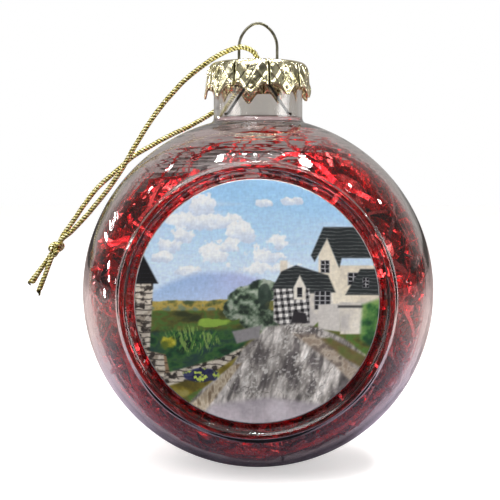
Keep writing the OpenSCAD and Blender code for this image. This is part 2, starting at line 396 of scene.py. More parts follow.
BACK_ROUTE = [
    EYE_POINT, (0.0002, 0.0035, 0.0922), (-0.0003, 0.006, 0.0922), (-0.001, 0.0086, 0.0922),
    (-0.002, 0.0108, 0.092), (-0.0031, 0.0123, 0.0905), (-0.0044, 0.0129, 0.0886),
    (-0.0058, 0.0128, 0.0866), (-0.0074, 0.012, 0.0846), (-0.009, 0.0108, 0.0828),
    (-0.011, 0.0092, 0.0811), (-0.0129, 0.008, 0.0798), (-0.015, 0.007, 0.0785),
    (-0.0171, 0.0061, 0.0773), (-0.0192, 0.0054, 0.0763), (-0.0213, 0.0048, 0.0752),
    (-0.0233, 0.0042, 0.0741), (-0.0251, 0.0037, 0.073), (-0.027, 0.0032, 0.0719),
    (-0.0289, 0.0027, 0.0707), (-0.0306, 0.0023, 0.0693), (-0.0323, 0.002, 0.0677),
    (-0.0344, 0.0017, 0.0659), (-0.036, 0.0015, 0.0645), (-0.0375, 0.0013, 0.063),
    (-0.0388, 0.0012, 0.0614), (-0.04, 0.0011, 0.0598), (-0.0412, 0.001, 0.0581),
    (-0.0424, 0.0009, 0.0563), (-0.0438, 0.0008, 0.0543), (-0.0451, 0.0007, 0.0525)]
KNOT_TIP = (-0.0482, 0, 0.0474)
KNOT_LEAN = math.radians(38)
KNOT_D = 3.4 * MM
KNOT_L = 4.6 * MM
KNOT_MIDDLE = (KNOT_TIP[0] + math.sin(KNOT_LEAN) * KNOT_L / 2, 0,
               KNOT_TIP[2] + math.cos(KNOT_LEAN) * KNOT_L / 2)
LEFT_TAIL_ROUTE = [(-0.048, 0.0007, 0.048), (-0.0494, 0.0008, 0.046), (-0.0508, 0.0009, 0.0441),
                   (-0.0521, 0.0009, 0.0423), (-0.0532, 0.0008, 0.0406)]
RIGHT_TAIL_ROUTE = [(-0.0476, -0.0007, 0.0474), (-0.0485, -0.0009, 0.045), (-0.0493, -0.001, 0.0428),
                    (-0.0502, -0.001, 0.0406), (-0.051, -0.0009, 0.0385)]


def gold_thread():
    """Metallic gold yarn: painted highlight on the outside of each ply and painted shade in the grooves."""
    material, tree, shader = new_material("gold_thread", {"Metallic": 0.6, "Roughness": 0.3})
    ply_shading_and_tone = node(tree, "ShaderNodeAttribute", attribute_name="ply_shading_and_tone").outputs["Fac"]
    flake = noise(tree, 1500, 3)
    glitter = value_ramp(tree, flake, 0.3, 0.7, 0.45, 1.25)
    shine = node(tree, "ShaderNodeMath", {0: ply_shading_and_tone, 1: glitter}, operation="MULTIPLY").outputs[0]
    # painted light: near black in the grooves as painted shade and pale on the plies' crests as painted
    # highlight
    tone = colour_ramp(tree, shine, [
        (0.0, (0.012, 0.010, 0.003)), (0.36, (0.11, 0.09, 0.015)),
        (0.62, (0.70, 0.58, 0.10)), (0.95, (1.0, 0.96, 0.60))])
    fill_inputs(tree, shader, {
        "Base Color": tone, "Roughness": value_ramp(tree, flake, 0.3, 0.7, 0.22, 0.42),
        "Normal": bump(tree, noise(tree, 5200, 1), 0.03 * MM, 0.5)})
    return material


def smooth_route(route, step):
    """Points a step apart on one smooth curve through the route's points."""
    points = np.array(route, float)
    padded = np.vstack([2 * points[0] - points[1], points, 2 * points[-1] - points[-2]])
    shares = np.linspace(0, 1, 24, endpoint=False)[:, None]
    curve = []
    for a, b, c, d in zip(padded, padded[1:], padded[2:], padded[3:]):
        curve.append(0.5 * (2 * b + (c - a) * shares + (2 * a - 5 * b + 4 * c - d) * shares ** 2
                            + (3 * b - a - 3 * c + d) * shares ** 3))
    curve = np.vstack(curve + [points[-1:]])
    return even_points(curve, step)


def even_points(curve, step):
    """The same curve with its points evenly spaced."""
    along = np.concatenate([[0], np.cumsum(np.linalg.norm(np.diff(curve, axis=0), axis=1))])
    places = np.linspace(0, along[-1], max(2, round(along[-1] / step)) + 1)
    return np.stack([np.interp(places, along, curve[:, k]) for k in range(3)], axis=1)


def curve_frames(curve, start_side):
    """Directions along a curve, and two sides carried along it with no twist."""
    along = unit(np.gradient(curve, axis=0))
    side = np.array(start_side, float)
    sides = np.zeros_like(along)
    for i, direction in enumerate(along):
        side = unit(side - (side @ direction) * direction)
        sides[i] = side
    return along, sides, np.cross(along, sides)


def tube_mesh(curve, start_side, radii, count):
    """Points and faces of a closed tube; radii is one number or one for each point."""
    _, sides, across = curve_frames(curve, start_side)
    radii = np.broadcast_to(radii, (len(curve),))[:, None, None]
    angles = np.arange(count) * math.tau / count
    rings = (curve[:, None] + radii * (np.cos(angles)[None, :, None] * sides[:, None]
                                       + np.sin(angles)[None, :, None] * across[:, None]))
    points = np.vstack([rings.reshape(-1, 3), curve[:1], curve[-1:]])
    faces = []
    for i in range(len(curve) - 1):
        low = list(range(i * count, (i + 1) * count))
        faces += ring_faces(low, [n + count for n in low])
    start, end = len(points) - 2, len(points) - 1
    last = (len(curve) - 1) * count
    faces += [(start, (k + 1) % count, k) for k in range(count)]
    faces += [(end, last + k, last + (k + 1) % count) for k in range(count)]
    return points, faces


def twisted_cord(name, curve, start_side, material, splay=0.0, tip_taper=True):
    """Four plies, dark and bright in turn, twisted round a curve; splay spreads and frays their far ends."""
    _, sides, across = curve_frames(curve, start_side)
    along = np.concatenate([[0], np.cumsum(np.linalg.norm(np.diff(curve, axis=0), axis=1))])
    share = along / along[-1]
    spread = PLY_CENTRE_R * (1 + splay * ramp(share, 0.35, 1.0))
    points, faces, ply_shading_and_tone = [], [], []
    for ply in range(PLY_COUNT):
        turn = math.tau * (along / PLY_PITCH + ply / PLY_COUNT)
        offset = np.cos(turn)[:, None] * sides + np.sin(turn)[:, None] * across
        line = curve + spread[:, None] * offset
        cut = len(line) - (ply * 4 if splay else 0)
        radii = PLY_R * np.ones(cut)
        if tip_taper:
            radii[-2:] *= (0.8, 0.5)
        ply_points, ply_faces = tube_mesh(line[:cut], start_side, radii, PLY_SIDES)
        centres = np.vstack([np.repeat(curve[:cut], PLY_SIDES, axis=0), curve[:1], curve[cut - 1:cut]])
        depth = np.linalg.norm(ply_points - centres, axis=1) / (PLY_CENTRE_R + PLY_R)
        start = sum(len(p) for p in points)
        points.append(ply_points)
        faces += [tuple(n + start for n in face) for face in ply_faces]
        # painted shade on each ply's side towards the cord's middle and painted highlight on its outer side;
        # every second ply is also a darker tone
        ply_shading_and_tone.append(ramp(depth, 0.45, 0.98) * (1 if ply % 2 else DARK_PLY))
    piece = mesh_piece(name, np.vstack(points), faces, material)
    attribute = piece.data.attributes.new("ply_shading_and_tone", "FLOAT", "POINT")
    attribute.data.foreach_set("value", np.concatenate(ply_shading_and_tone).astype(np.float32))
    return piece


def knot_curve():
    """An overhand knot's line, drawn up tight along the knot's axis."""
    turns = np.linspace(0, math.tau, 400, endpoint=False)
    across = np.sin(turns) + 2 * np.sin(2 * turns)
    over = np.cos(turns) - 2 * np.cos(2 * turns)
    through = -np.sin(3 * turns)
    half_width = (KNOT_D - CORD_D) / 2
    half_length = (KNOT_L - CORD_D) / 2
    local = np.stack([over / 3 * half_width, through * half_width, across / 3 * half_length], axis=1)
    axis = np.array([math.sin(KNOT_LEAN), 0, math.cos(KNOT_LEAN)])
    side = np.array([math.cos(KNOT_LEAN), 0, -math.sin(KNOT_LEAN)])
    front = np.array([0, 1.0, 0])
    return np.array(KNOT_MIDDLE) + local @ np.stack([side, front, axis])


def make_knot(material):
    curve = knot_curve()
    piece = twisted_cord("cord_overhand_knot", even_points(curve, CORD_STEP), (0, 1, 0), material,
                         tip_taper=False)
    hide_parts("cord_knot")
    return piece


def make_cord():
    gold = gold_thread()
    tails = []
    for name, route, cad, splay in (("cord_left_tail", LEFT_TAIL_ROUTE, "cord_tail_left", 0.9),
                                    ("cord_right_tail", RIGHT_TAIL_ROUTE, "cord_tail_right", 0.25)):
        tail = twisted_cord(name, smooth_route(route, CORD_STEP), (0, 1, 0), gold, splay)
        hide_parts(cad)
        tails.append(tail)
    knot = make_knot(gold)
    for name, route, cad, extras in (
            ("cord_front", FRONT_ROUTE, "cord_front_strand", [knot, *tails]),
            ("cord_back", BACK_ROUTE, "cord_back_strand", [])):
        curve = smooth_route([*route, KNOT_MIDDLE], CORD_STEP)
        strand = twisted_cord(name, curve, (1, 0, 0), gold)
        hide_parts(cad)
        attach(strand, "cap")
    for piece in [knot, *tails]:
        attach(piece, "cap")


make_cord()

# ---------------------------------------------------------------- clear bauble
SHELL_SEGMENTS = 256
CELL = math.tau / SHELL_SEGMENTS
BALL_ROWS = 30
HOLE_CELLS = 13
BLEND_CELLS = 26
INNER_WAVE = 0.0012  # unevenness of the inside wall, as a share of its radius


def clear_plastic():
    """Clear moulded plastic with slight waviness, tinted warm grey below the neck as painted shade."""
    material, tree, shader = new_material("clear_plastic", {
        "Transmission Weight": 1.0, "IOR": 1.5, "Roughness": 0.0})
    wave = noise(tree, 90, 2)
    streak = noise(tree, 60, 2, (0.5, 0.5, 7))
    height = height_above_base(tree)
    # the streaks are on the shoulder only: none below 62 mm or above 78 mm
    shoulder = colour_ramp(tree, value_ramp(tree, height, 0.062, 0.078, 0, 1), [
        (0.0, (0.0, 0.0, 0.0)), (0.5, (1.0, 1.0, 1.0)), (0.85, (1.0, 1.0, 1.0)), (1.0, (0.0, 0.0, 0.0))])
    streak = node(tree, "ShaderNodeMath", {0: streak, 1: shoulder}, operation="MULTIPLY").outputs[0]
    wave = node(tree, "ShaderNodeMath", {0: wave, 1: 0.4, 2: streak}, operation="MULTIPLY_ADD").outputs[0]
    # painted shade: the ball is tinted warm grey below 76 mm, and the neck above 80 mm is left nearly clear
    level = value_ramp(tree, height, 0.076, 0.080, 0, 1)
    shade_tint = colour_ramp(tree, level, [(0.0, (0.88, 0.82, 0.82)), (1.0, (1.0, 0.985, 0.965))])
    fill_inputs(tree, shader, {"Base Color": shade_tint, "Normal": bump(tree, wave, 0.6 * MM, 0.25)})
    clear = node(tree, "ShaderNodeBsdfTransparent", {"Color": (0.88, 0.86, 0.86, 1)})
    set_surface(tree, switch_by_ray(tree, "Is Shadow Ray", shader.outputs[0], clear.outputs[0]))
    return material


def well_profile(inset):
    """(radius, distance forward) from the crest's outer end, over it and down to the well's floor."""
    radius = RIM_FILLET - inset
    crest = [(RIM_R + radius * math.cos(a), RIM_Y + radius * math.sin(a))
             for a in np.linspace(RIM_ANGLE, math.pi - WELL_DRAFT, 17)]
    foot_y = FLOOR_Y - inset
    top_r, top_y = crest[-1]
    foot_r = top_r - (top_y - foot_y) * math.tan(WELL_DRAFT)
    foot_blend = 0.3 * MM
    bend_start = (foot_r + foot_blend * math.sin(WELL_DRAFT), foot_y + foot_blend * math.cos(WELL_DRAFT))
    wall = [(top_r + (bend_start[0] - top_r) * s, top_y + (bend_start[1] - top_y) * s)
            for s in (0.33, 0.66, 1.0)]
    foot = [((1 - s) ** 2 * bend_start[0] + 2 * s * (1 - s) * foot_r + s * s * (foot_r - foot_blend),
             (1 - s) ** 2 * bend_start[1] + (1 - (1 - s) ** 2) * foot_y)
            for s in (0.25, 0.5, 0.75, 1.0)]
    well_floor = [(foot_r * s, foot_y) for s in (0.9, 0.7, 0.45, 0.2)]
    return crest + wall + foot + well_floor


def neck_hole_place(row, column, radius):
    """Place on the ball near the neck, where the grid of rows and columns turns into rings."""
    size = max(abs(row), abs(column))
    if abs(column) >= abs(row):
        angle = math.pi / 4 * row / abs(column)
        direction = (math.copysign(math.cos(angle), column), math.sin(angle))
    else:
        angle = math.pi / 4 * column / abs(row)
        direction = (math.sin(angle), math.copysign(math.cos(angle), row))
    out = math.sin(size * CELL)
    return radius * np.array([-out * direction[0], -out * direction[1], math.cos(size * CELL)])


def flatten_base(point, level):
    """Keeps a point above the level of the flattened base, with a soft bend."""
    over = point[2] - level
    soft = 0.2 * MM
    point[2] = level + (over + math.sqrt(over * over + soft * soft)) / 2
    return point


def shell_surface(inset, points, faces):
    """Adds one surface of the ball with its two wells; returns the ring of vertices around the neck."""
    radius = BALL_R - inset
    well = well_profile(inset)
    rows = [(r, -y, None) for r, y in reversed(well)]
    rows += [(radius * math.cos(k * CELL), -radius * math.sin(k * CELL), k)
             for k in range(BALL_ROWS, -BALL_ROWS - 1, -1)]
    rows += [(r, y, None) for r, y in well]
    top_column = SHELL_SEGMENTS // 4
    numbers = {}
    for i, (r, y, k) in enumerate(rows):
        for j in range(SHELL_SEGMENTS):
            column = (j - top_column + SHELL_SEGMENTS // 2) % SHELL_SEGMENTS - SHELL_SEGMENTS // 2
            place = np.array([r * math.cos(j * CELL), y, r * math.sin(j * CELL)])
            if k is not None:
                size = max(abs(k), abs(column))
                if size < HOLE_CELLS:
                    continue
                if size < BLEND_CELLS:
                    share = float(ramp(size, BLEND_CELLS, HOLE_CELLS))
                    place = place * (1 - share) + neck_hole_place(k, column, radius) * share
                    place = place / np.linalg.norm(place) * radius
                    numbers[("near", k, column)] = len(points)
            if inset and k is not None:
                wave = math.sin(230 * place[0] + 1.0) * math.sin(190 * place[2] + 0.5)
                place = place * (1 - INNER_WAVE * wave)
            numbers[i, j] = len(points)
            points.append(flatten_base(place + BALL_CENTRE, inset))
    for i in range(len(rows) - 1):
        for j in range(SHELL_SEGMENTS):
            corners = [(i, j), (i, (j + 1) % SHELL_SEGMENTS), (i + 1, (j + 1) % SHELL_SEGMENTS), (i + 1, j)]
            if all(c in numbers for c in corners):
                if all(on_hole_edge(rows[c[0]][2], c[1], top_column) for c in corners):
                    continue
                faces.append(tuple(numbers[c] for c in corners))
    for i, side in ((0, -1), (len(rows) - 1, 1)):
        centre = len(points)
        points.append(np.array([0, side * (FLOOR_Y - inset), BALL_Z]))
        faces += [(numbers[i, j], numbers[i, (j + 1) % SHELL_SEGMENTS], centre)
                  for j in range(SHELL_SEGMENTS)]
    n = HOLE_CELLS
    around = ([(k, n) for k in range(-n, n)] + [(n, c) for c in range(n, -n, -1)]
              + [(k, -n) for k in range(n, -n, -1)] + [(-n, c) for c in range(-n, n)])
    return [numbers["near", k, c] for k, c in around]


def on_hole_edge(row, column, top_column):
    return row is not None and abs(row) <= HOLE_CELLS and abs(column - top_column) <= HOLE_CELLS


def ball_height(distance, radius):
    return BALL_Z + math.sqrt(radius * radius - distance * distance)


def neck_profile():
    """(radius, height) from the ball's outside up the neck, over its lip and down the bore."""
    blend_z = ball_height(NECK_R + NECK_BLEND, BALL_R)
    lip = 0.35 * MM
    outside = [(12.1 * MM, ball_height(12.1 * MM, BALL_R)), (11.8 * MM, ball_height(11.8 * MM, BALL_R))]
    outside += [(NECK_R + NECK_BLEND * (1 - math.sin(a)), blend_z + NECK_BLEND * (1 - math.cos(a)))
                for a in np.linspace(0, math.pi / 2, 9)]
    outside += [(NECK_R, z) for z in np.linspace(blend_z + NECK_BLEND + 1.5 * MM, NECK_TOP - lip, 5)]
    over = [(NECK_R - lip * (1 - math.cos(a)), NECK_TOP - lip * (1 - math.sin(a)))
            for a in np.linspace(0.3, math.pi / 2, 4)]
    back = [(BORE_R + lip * (1 - math.sin(a)), NECK_TOP - lip * (1 - math.cos(a)))
            for a in np.linspace(0.3, math.pi / 2, 4)]
    inner_r = BALL_R - WALL
    foot_r = BORE_R + 0.9 * MM
    foot_z = ball_height(foot_r, inner_r)
    bore = [(BORE_R, z) for z in np.linspace(NECK_TOP - 2 * MM, foot_z + 1.1 * MM, 5)]
    foot = [(BORE_R + 0.9 * MM * (1 - math.cos(a)), foot_z + 1.1 * MM * (1 - math.sin(a)))
            for a in np.linspace(0.3, math.pi / 2, 5)]
    inside = [(r * MM, ball_height(r * MM, inner_r)) for r in (10.6, 11.3)]
    return outside + over + back + bore + foot + inside


def make_shell():
    points, faces = [], []
    outer_ring = shell_surface(0, points, faces)
    inner_ring = shell_surface(WALL, points, faces)
    directions = [unit(points[n][:2]) for n in outer_ring]
    ring = outer_ring
    for r, z in neck_profile():
        next_ring = []
        for direction in directions:
            next_ring.append(len(points))
            points.append(np.array([direction[0] * r, direction[1] * r, z]))
        faces += ring_faces(ring, next_ring)
        ring = next_ring
    faces += ring_faces(ring, inner_ring)
    shell = mesh_piece("clear_shell", points, faces, clear_plastic())
    face_outwards(shell)
    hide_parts("bauble_body")
    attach(shell, "bauble")


make_shell()

# ---------------------------------------------------------------- red tinsel
TINSEL_STEP = 1.8 * MM
TINSEL_LIMIT_R = 38.2 * MM
WELL_CLEAR_R = 27.6 * MM
WELL_CLEAR_Y = 23.4 * MM
FOIL_T = 0.04 * MM
TINSEL_TOP = ([-36, -30, -22, -12, 0, 10, 18, 26, 34], [12, 20, 25, 28, 28.5, 30, 32, 27, 17])


def red_foil():
    """Red metal foil, some strips darker than others, with fine wrinkles."""
    material, tree, shader = new_material("red_foil", {
        "Metallic": 1.0, "Coat Weight": 0.6, "Coat Roughness": 0.04})
    tone = node(tree, "ShaderNodeAttribute", attribute_name="tone").outputs["Fac"]
    colour = colour_ramp(tree, tone, [
        (0.0, (0.07, 0.001, 0.003)), (0.32, (0.34, 0.004, 0.009)), (0.6, (1.0, 0.016, 0.024)),
        (1.0, (1.0, 0.16, 0.15))])
    wrinkle = noise(tree, 1500, 2)
    fill_inputs(tree, shader, {
        "Base Color": colour, "Roughness": value_ramp(tree, wrinkle, 0.3, 0.7, 0.15, 0.32),
        "Normal": bump(tree, wrinkle, 0.12 * MM, 0.6)})
    return material


def heap_top(x):
    return np.interp(x / MM, *TINSEL_TOP) * MM


def keep_inside(place, loose):
    """A push back into the space that the tinsel fills; loose strips may rise above the heap."""
    from_centre = place - BALL_CENTRE
    distance = np.linalg.norm(from_centre)
    pushes = [(TINSEL_LIMIT_R - distance, -from_centre / distance)]
    if math.hypot(from_centre[0], from_centre[2]) < WELL_CLEAR_R:
        pushes.append((WELL_CLEAR_Y - abs(place[1]), np.array([0, -np.sign(place[1]), 0])))
    if not loose:
        pushes.append((heap_top(place[0]) - from_centre[2], -UP))
    reach = 1.8 * MM
    total = np.zeros(3)
    for depth, direction in pushes:
        if depth < reach:
            total += direction * min(3.0, (reach - depth) / reach * 1.3)
    return total


def tinsel_line(rng, place, heading, steps, wander, loose=False):
    line = [place]
    for _ in range(steps):
        heading = unit(heading + rng.normal(0, wander, 3) + keep_inside(place, loose))
        place = place + heading * TINSEL_STEP
        line.append(place)
    return np.array(line)


def wall_line(rng, place, heading, steps):
    """A line that runs along the inside of the ball's wall."""
    line = [place]
    for _ in range(steps):
        out = unit(place - BALL_CENTRE)
        steer = np.array([0, -np.sign(place[1]) * 0.5 * (abs(place[1]) > 22.5 * MM), 0])
        if place[2] - BALL_Z > heap_top(place[0]):
            steer[2] -= 0.5
        heading = heading + rng.normal(0, 0.05, 3) + steer
        heading = unit(heading - (heading @ out) * out)
        distance = np.linalg.norm(place - BALL_CENTRE)
        place = BALL_CENTRE + unit(place + heading * TINSEL_STEP - BALL_CENTRE) * distance
        line.append(place)
    return np.array(line)


def free_flats(rng, line):
    """Directions across a strip that twists as it pleases."""
    _, sides, across = curve_frames(line, rng.normal(0, 1, 3))
    count = len(line)
    turn = (rng.uniform(0, math.tau) + np.cumsum(rng.normal(0, 0.10, count))
            + np.linspace(0, rng.normal(0, 2), count))
    return np.cos(turn)[:, None] * sides + np.sin(turn)[:, None] * across


def wall_flats(rng, line):
    """Directions across a strip that lies nearly flat on the ball's wall."""
    out = unit(line - BALL_CENTRE)
    flat = np.cross(unit(np.gradient(line, axis=0)), out)
    tilt = (rng.normal(0, 0.25) + np.cumsum(rng.normal(0, 0.05, len(line))))[:, None]
    return unit(np.cos(tilt) * flat + np.sin(tilt) * out)


def add_ribbon(rng, line, flat, width, points, faces, tones, tone):
    """Adds one thin closed and slightly crinkled foil strip along a line."""
    count = len(line)
    thick = np.cross(unit(np.gradient(line, axis=0)), flat)
    crinkle = rng.uniform(0.0, 0.06) * MM * np.where(np.arange(count) % 2, 1, -1) * rng.uniform(0.4, 1, count)
    middle = line + thick * crinkle[:, None]
    start = len(points)
    for c, f, t in zip(middle, flat * width / 2, thick * FOIL_T / 2):
        points += [c - f - t, c + f - t, c + f + t, c - f + t]
    for i in range(count - 1):
        low = [start + 4 * i + k for k in range(4)]
        faces += ring_faces(low, [n + 4 for n in low])
    last = start + 4 * (count - 1)
    faces += [(start + 3, start + 2, start + 1, start), (last, last + 1, last + 2, last + 3)]
    tones += [tone] * (4 * count)


def start_in_heap(rng, low_r, high_r):
    """A random place in the heap, between two distances from the middle line of the wells."""
    while True:
        place = rng.uniform(-1, 1, 3) * TINSEL_LIMIT_R
        r = math.hypot(place[0], place[2])
        if not low_r < r < high_r or np.linalg.norm(place) > TINSEL_LIMIT_R - 0.8 * MM:
            continue
        if place[2] > heap_top(place[0]) or (r < WELL_CLEAR_R and abs(place[1]) > WELL_CLEAR_Y):
            continue
        return place + BALL_CENTRE


def heading_round(rng, place, stray):
    """A heading round the ball, give or take a random part."""
    from_centre = place - BALL_CENTRE
    around = unit(np.array([from_centre[2], 0, -from_centre[0]])) * rng.choice([-1, 1])
    return unit(around + rng.normal(0, stray, 3))


def start_above_heap(rng):
    """A place on top of the heap and a heading that runs over it."""
    turn = rng.uniform(math.radians(-58), math.radians(62))
    r = rng.uniform(29, 35) * MM
    limit = min(18 * MM, math.sqrt((TINSEL_LIMIT_R - MM) ** 2 - r * r))
    place = BALL_CENTRE + np.array([r * math.sin(turn), rng.uniform(-limit, limit), r * math.cos(turn)])
    heading = np.array([math.cos(turn), 0, -math.sin(turn)]) * rng.choice([-1, 1])
    return place, unit(heading + rng.normal(0, 0.35, 3))


# strips, nearest and farthest start from the wells' axis in mm, share that runs round, widths in mm, steps
HEAP_GROUPS = (
    (480, 26, 38, 0.7, (0.7, 1.4), (12, 26)),
    (200, 0, 26, 0.0, (0.8, 1.4), (14, 26)),
    (120, 31, 38, 0.0, (0.5, 1.2), (8, 16)))
WALL_STRIPS = 210
LOOSE_STRIPS = 16
ANY_WAY = 9  # a stray so large that it leaves nothing of the heading


def make_tinsel():
    rng = np.random.default_rng(24)
    points, faces, tones = [], [], []
    for count, low_r, high_r, round_share, widths, steps in HEAP_GROUPS:
        for _ in range(count):
            place = start_in_heap(rng, low_r * MM, high_r * MM)
            heading = heading_round(rng, place, 0.4 if rng.random() < round_share else ANY_WAY)
            line = tinsel_line(rng, place, heading, rng.integers(*steps), 0.08)
            add_ribbon(rng, line, free_flats(rng, line), rng.uniform(*widths) * MM,
                       points, faces, tones, rng.uniform(0, 1))
    for _ in range(WALL_STRIPS):
        place = start_in_heap(rng, 28 * MM, 38 * MM)
        place = BALL_CENTRE + unit(place - BALL_CENTRE) * rng.uniform(37.2, 38.3) * MM
        heading = heading_round(rng, place, 0.5)
        line = wall_line(rng, place, heading, rng.integers(6, 18))
        add_ribbon(rng, line, wall_flats(rng, line), rng.uniform(0.5, 1.3) * MM,
                   points, faces, tones, rng.uniform(0.2, 1))
    for _ in range(LOOSE_STRIPS):
        place, heading = start_above_heap(rng)
        line = tinsel_line(rng, place, heading, rng.integers(12, 26), 0.10, loose=True)
        add_ribbon(rng, line, free_flats(rng, line), rng.uniform(0.35, 0.8) * MM,
                   points, faces, tones, rng.uniform(0.2, 1))
    tinsel = mesh_piece("tinsel", points, faces, red_foil(), smooth=False)
    attribute = tinsel.data.attributes.new("tone", "FLOAT", "POINT")
    attribute.data.foreach_set("value", np.array(tones, np.float32))
    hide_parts("tinsel_filling")
    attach(tinsel, "bauble")


make_tinsel()


# ---------------------------------------------------------------- the printed picture
def blend(first, second, amount):
    """Colour first where amount is 0 and second where it is 1."""
    amount = np.asarray(amount, float)[..., None]
    return np.asarray(first, float) * (1 - amount) + np.asarray(second, float) * amount


def inside(x, z, corners, soft=0.008):
    """1 inside a polygon and 0 outside it, with a soft edge."""
    within = np.zeros(x.shape, bool)
    nearest = np.full(x.shape, 9.0)
    for (x1, z1), (x2, z2) in zip(corners, corners[1:] + corners[:1]):
        if z1 != z2:
            within ^= ((z1 > z) != (z2 > z)) & (x < (x2 - x1) * (z - z1) / (z2 - z1) + x1)
        dx, dz = x2 - x1, z2 - z1
        share = np.clip(((x - x1) * dx + (z - z1) * dz) / (dx * dx + dz * dz), 0, 1)
        nearest = np.minimum(nearest, np.hypot(x - x1 - share * dx, z - z1 - share * dz))
    return ramp(np.where(within, nearest, -nearest), -soft, soft)


def blob(x, z, centre, size, seed, rough=0.5, soft=0.18):
    """1 inside an oval with a ragged edge."""
    away = np.hypot((x - centre[0]) / size[0], (z - centre[1]) / size[1])
    return ramp(1 - away + rough * (cloudy(x, z, 9, seed) - 0.5) * 2, 0, soft)


def box_corners(left, low, right, high):
    return [(left, low), (right, low), (right, high), (left, high)]


def mottled(x, z, colours, scale, seed, stretch=(1, 1)):
    """Patches of several colours, from the first where the noise is low to the last where it is high."""
    value = ramp(cloudy(x * stretch[0], z * stretch[1], scale, seed), 0.22, 0.78) * (len(colours) - 1)
    made = np.zeros(x.shape + (3,))
    for i, colour in enumerate(colours):
        made += np.clip(1 - np.abs(value - i), 0, 1)[..., None] * np.array(colour, float)
    return made


CLOUDS = [  # middle across and up, half width and half height
    (-0.52, 0.66, 0.20, 0.08), (-0.44, 0.79, 0.10, 0.08), (-0.26, 0.66, 0.12, 0.08),
    (-0.12, 0.57, 0.11, 0.08), (0.06, 0.80, 0.08, 0.04), (0.27, 0.82, 0.10, 0.035),
    (-0.72, 0.47, 0.10, 0.06), (-0.60, 0.54, 0.08, 0.06), (-0.76, 0.36, 0.07, 0.04),
    (-0.56, 0.25, 0.12, 0.035), (-0.34, 0.38, 0.13, 0.08), (-0.22, 0.46, 0.08, 0.06),
    (0.05, 0.38, 0.15, 0.08), (0.16, 0.48, 0.11, 0.07), (0.00, 0.26, 0.18, 0.06),
    (0.24, 0.28, 0.12, 0.07)]


def paint_sky(x, z):
    height = z + 0.25 * (cloudy(x, z * 4, 1.3, 3) - 0.5)
    picture = blend((212, 232, 252), (160, 208, 246), ramp(height, 0.15, 0.95))
    picture = blend(picture, (206, 226, 248), ramp(cloudy(x * 0.8, z * 6, 2.2, 8), 0.48, 0.7) * 0.75)
    for i, (cx, cz, width, height) in enumerate(CLOUDS):
        away = np.hypot((x - cx) / width, (z - cz) / height)
        puffs = cloudy(x, z, 8, 40 + i, 3) - 0.5 + 0.6 * (cloudy(x, z, 26, 60 + i, 3) - 0.5)
        amount = ramp(1.1 - away + 1.5 * puffs, 0.0, 0.22)
        under = ramp(cz - z + 0.10 * (cloudy(x, z, 18, 80 + i) - 0.5), -0.03, height * 1.1)
        colour = blend((240, 246, 250), (196, 212, 234), under * 0.85)
        picture = blend(picture, colour, amount)
    return picture


def paint_hills(picture, x, z):
    ridge = 0.25 - 0.55 * (x + 0.30) ** 2 + 0.02 * cloudy(x, z * 0, 5, 90)
    colour = blend((150, 184, 226), (180, 188, 228), ramp(x + 0.35 * cloudy(x, z, 3, 91), -0.55, 0.25))
    colour = blend(colour, (208, 222, 244), ramp(0.12 - z, -0.1, 0.2) * 0.5)
    amount = ramp(ridge - z, -0.02, 0.05) * ramp(0.35 - x, 0, 0.25)
    picture = blend(picture, colour, amount * 0.92)
    hedge = mottled(x, z, [(70, 84, 50), (132, 128, 66), (196, 170, 84), (120, 142, 120)], 16, 95)
    edge = 0.005 + 0.03 * cloudy(x, z * 0, 12, 96)
    amount = ramp(edge - z, 0, 0.015)
    picture = blend(picture, hedge, amount)
    field = mottled(x, z, [(52, 62, 34), (96, 98, 44), (80, 120, 52), (110, 104, 50)], 8, 98, (1, 1.8))
    amount = ramp(-0.07 - z + 0.02 * cloudy(x, z, 9, 99), 0, 0.02)
    picture = blend(picture, field, amount)
    amount = blob(x, z, (-0.36, -0.17), (0.15, 0.045), 101)
    return blend(picture, (150, 188, 74), amount)


def paint_verge(picture, x, z):
    bank = mottled(x, z, [(12, 40, 30), (24, 74, 46), (60, 104, 52), (34, 66, 62)], 9, 104, (1, 1.4))
    picture = paint_over(picture, x, z, [
        (-0.95, -0.25), (-0.12, -0.22), (-0.06, -0.30), (-0.16, -0.42), (-0.75, -0.60), (-0.98, -0.50)],
        bank, 0.02)
    for lean, colour, seed in ((2.2, (40, 96, 48), 107), (-1.6, (84, 138, 58), 108),
                               (0.8, (150, 180, 92), 109)):
        blades = ramp(cloudy((x + lean * 0.25 * z) * 9, z * 1.8, 8, seed), 0.54, 0.64)
        tuft = blob(x, z, (-0.55, -0.30), (0.26, 0.13), seed + 3, 0.6, 0.5) * blades
        picture = blend(picture, colour, tuft * 0.8)
    bush = mottled(x, z, [(96, 112, 34), (176, 172, 46), (214, 206, 84)], 24, 114)
    return blend(picture, bush, blob(x, z, (-0.72, -0.33), (0.09, 0.07), 115, 0.8, 0.4))


def paint_tree(picture, x, z):
    leaves = mottled(x, z, [(34, 48, 40), (78, 98, 78), (120, 140, 118), (176, 186, 170)], 24, 112)
    crowns = (((-0.06, 0.02), (0.20, 0.15)), ((0.06, 0.09), (0.14, 0.11)),
              ((-0.18, -0.06), (0.10, 0.09)), ((0.02, -0.14), (0.18, 0.10)))
    for i, (centre, size) in enumerate(crowns):
        amount = blob(x, z, centre, size, 113 + i, 0.35, 0.14)
        picture = blend(picture, leaves, amount)
    return blend(picture, (44, 60, 52), blob(x, z, (0.07, 0.05), (0.055, 0.11), 118, 0.25) * 0.8)


def stone(x, z, seed):
    """Pale rough stone with dark joints."""
    joints = np.maximum(ramp(np.abs((z * 22 + 0.8 * cloudy(x, z, 9, seed)) % 1 - 0.5), 0.34, 0.48),
                        ramp(cloudy(x, z, 26, seed + 1), 0.52, 0.66))
    return blend(mottled(x, z, [(150, 138, 122), (224, 216, 200), (196, 186, 172)], 14, seed + 2),
                 (40, 34, 32), joints * 0.9)


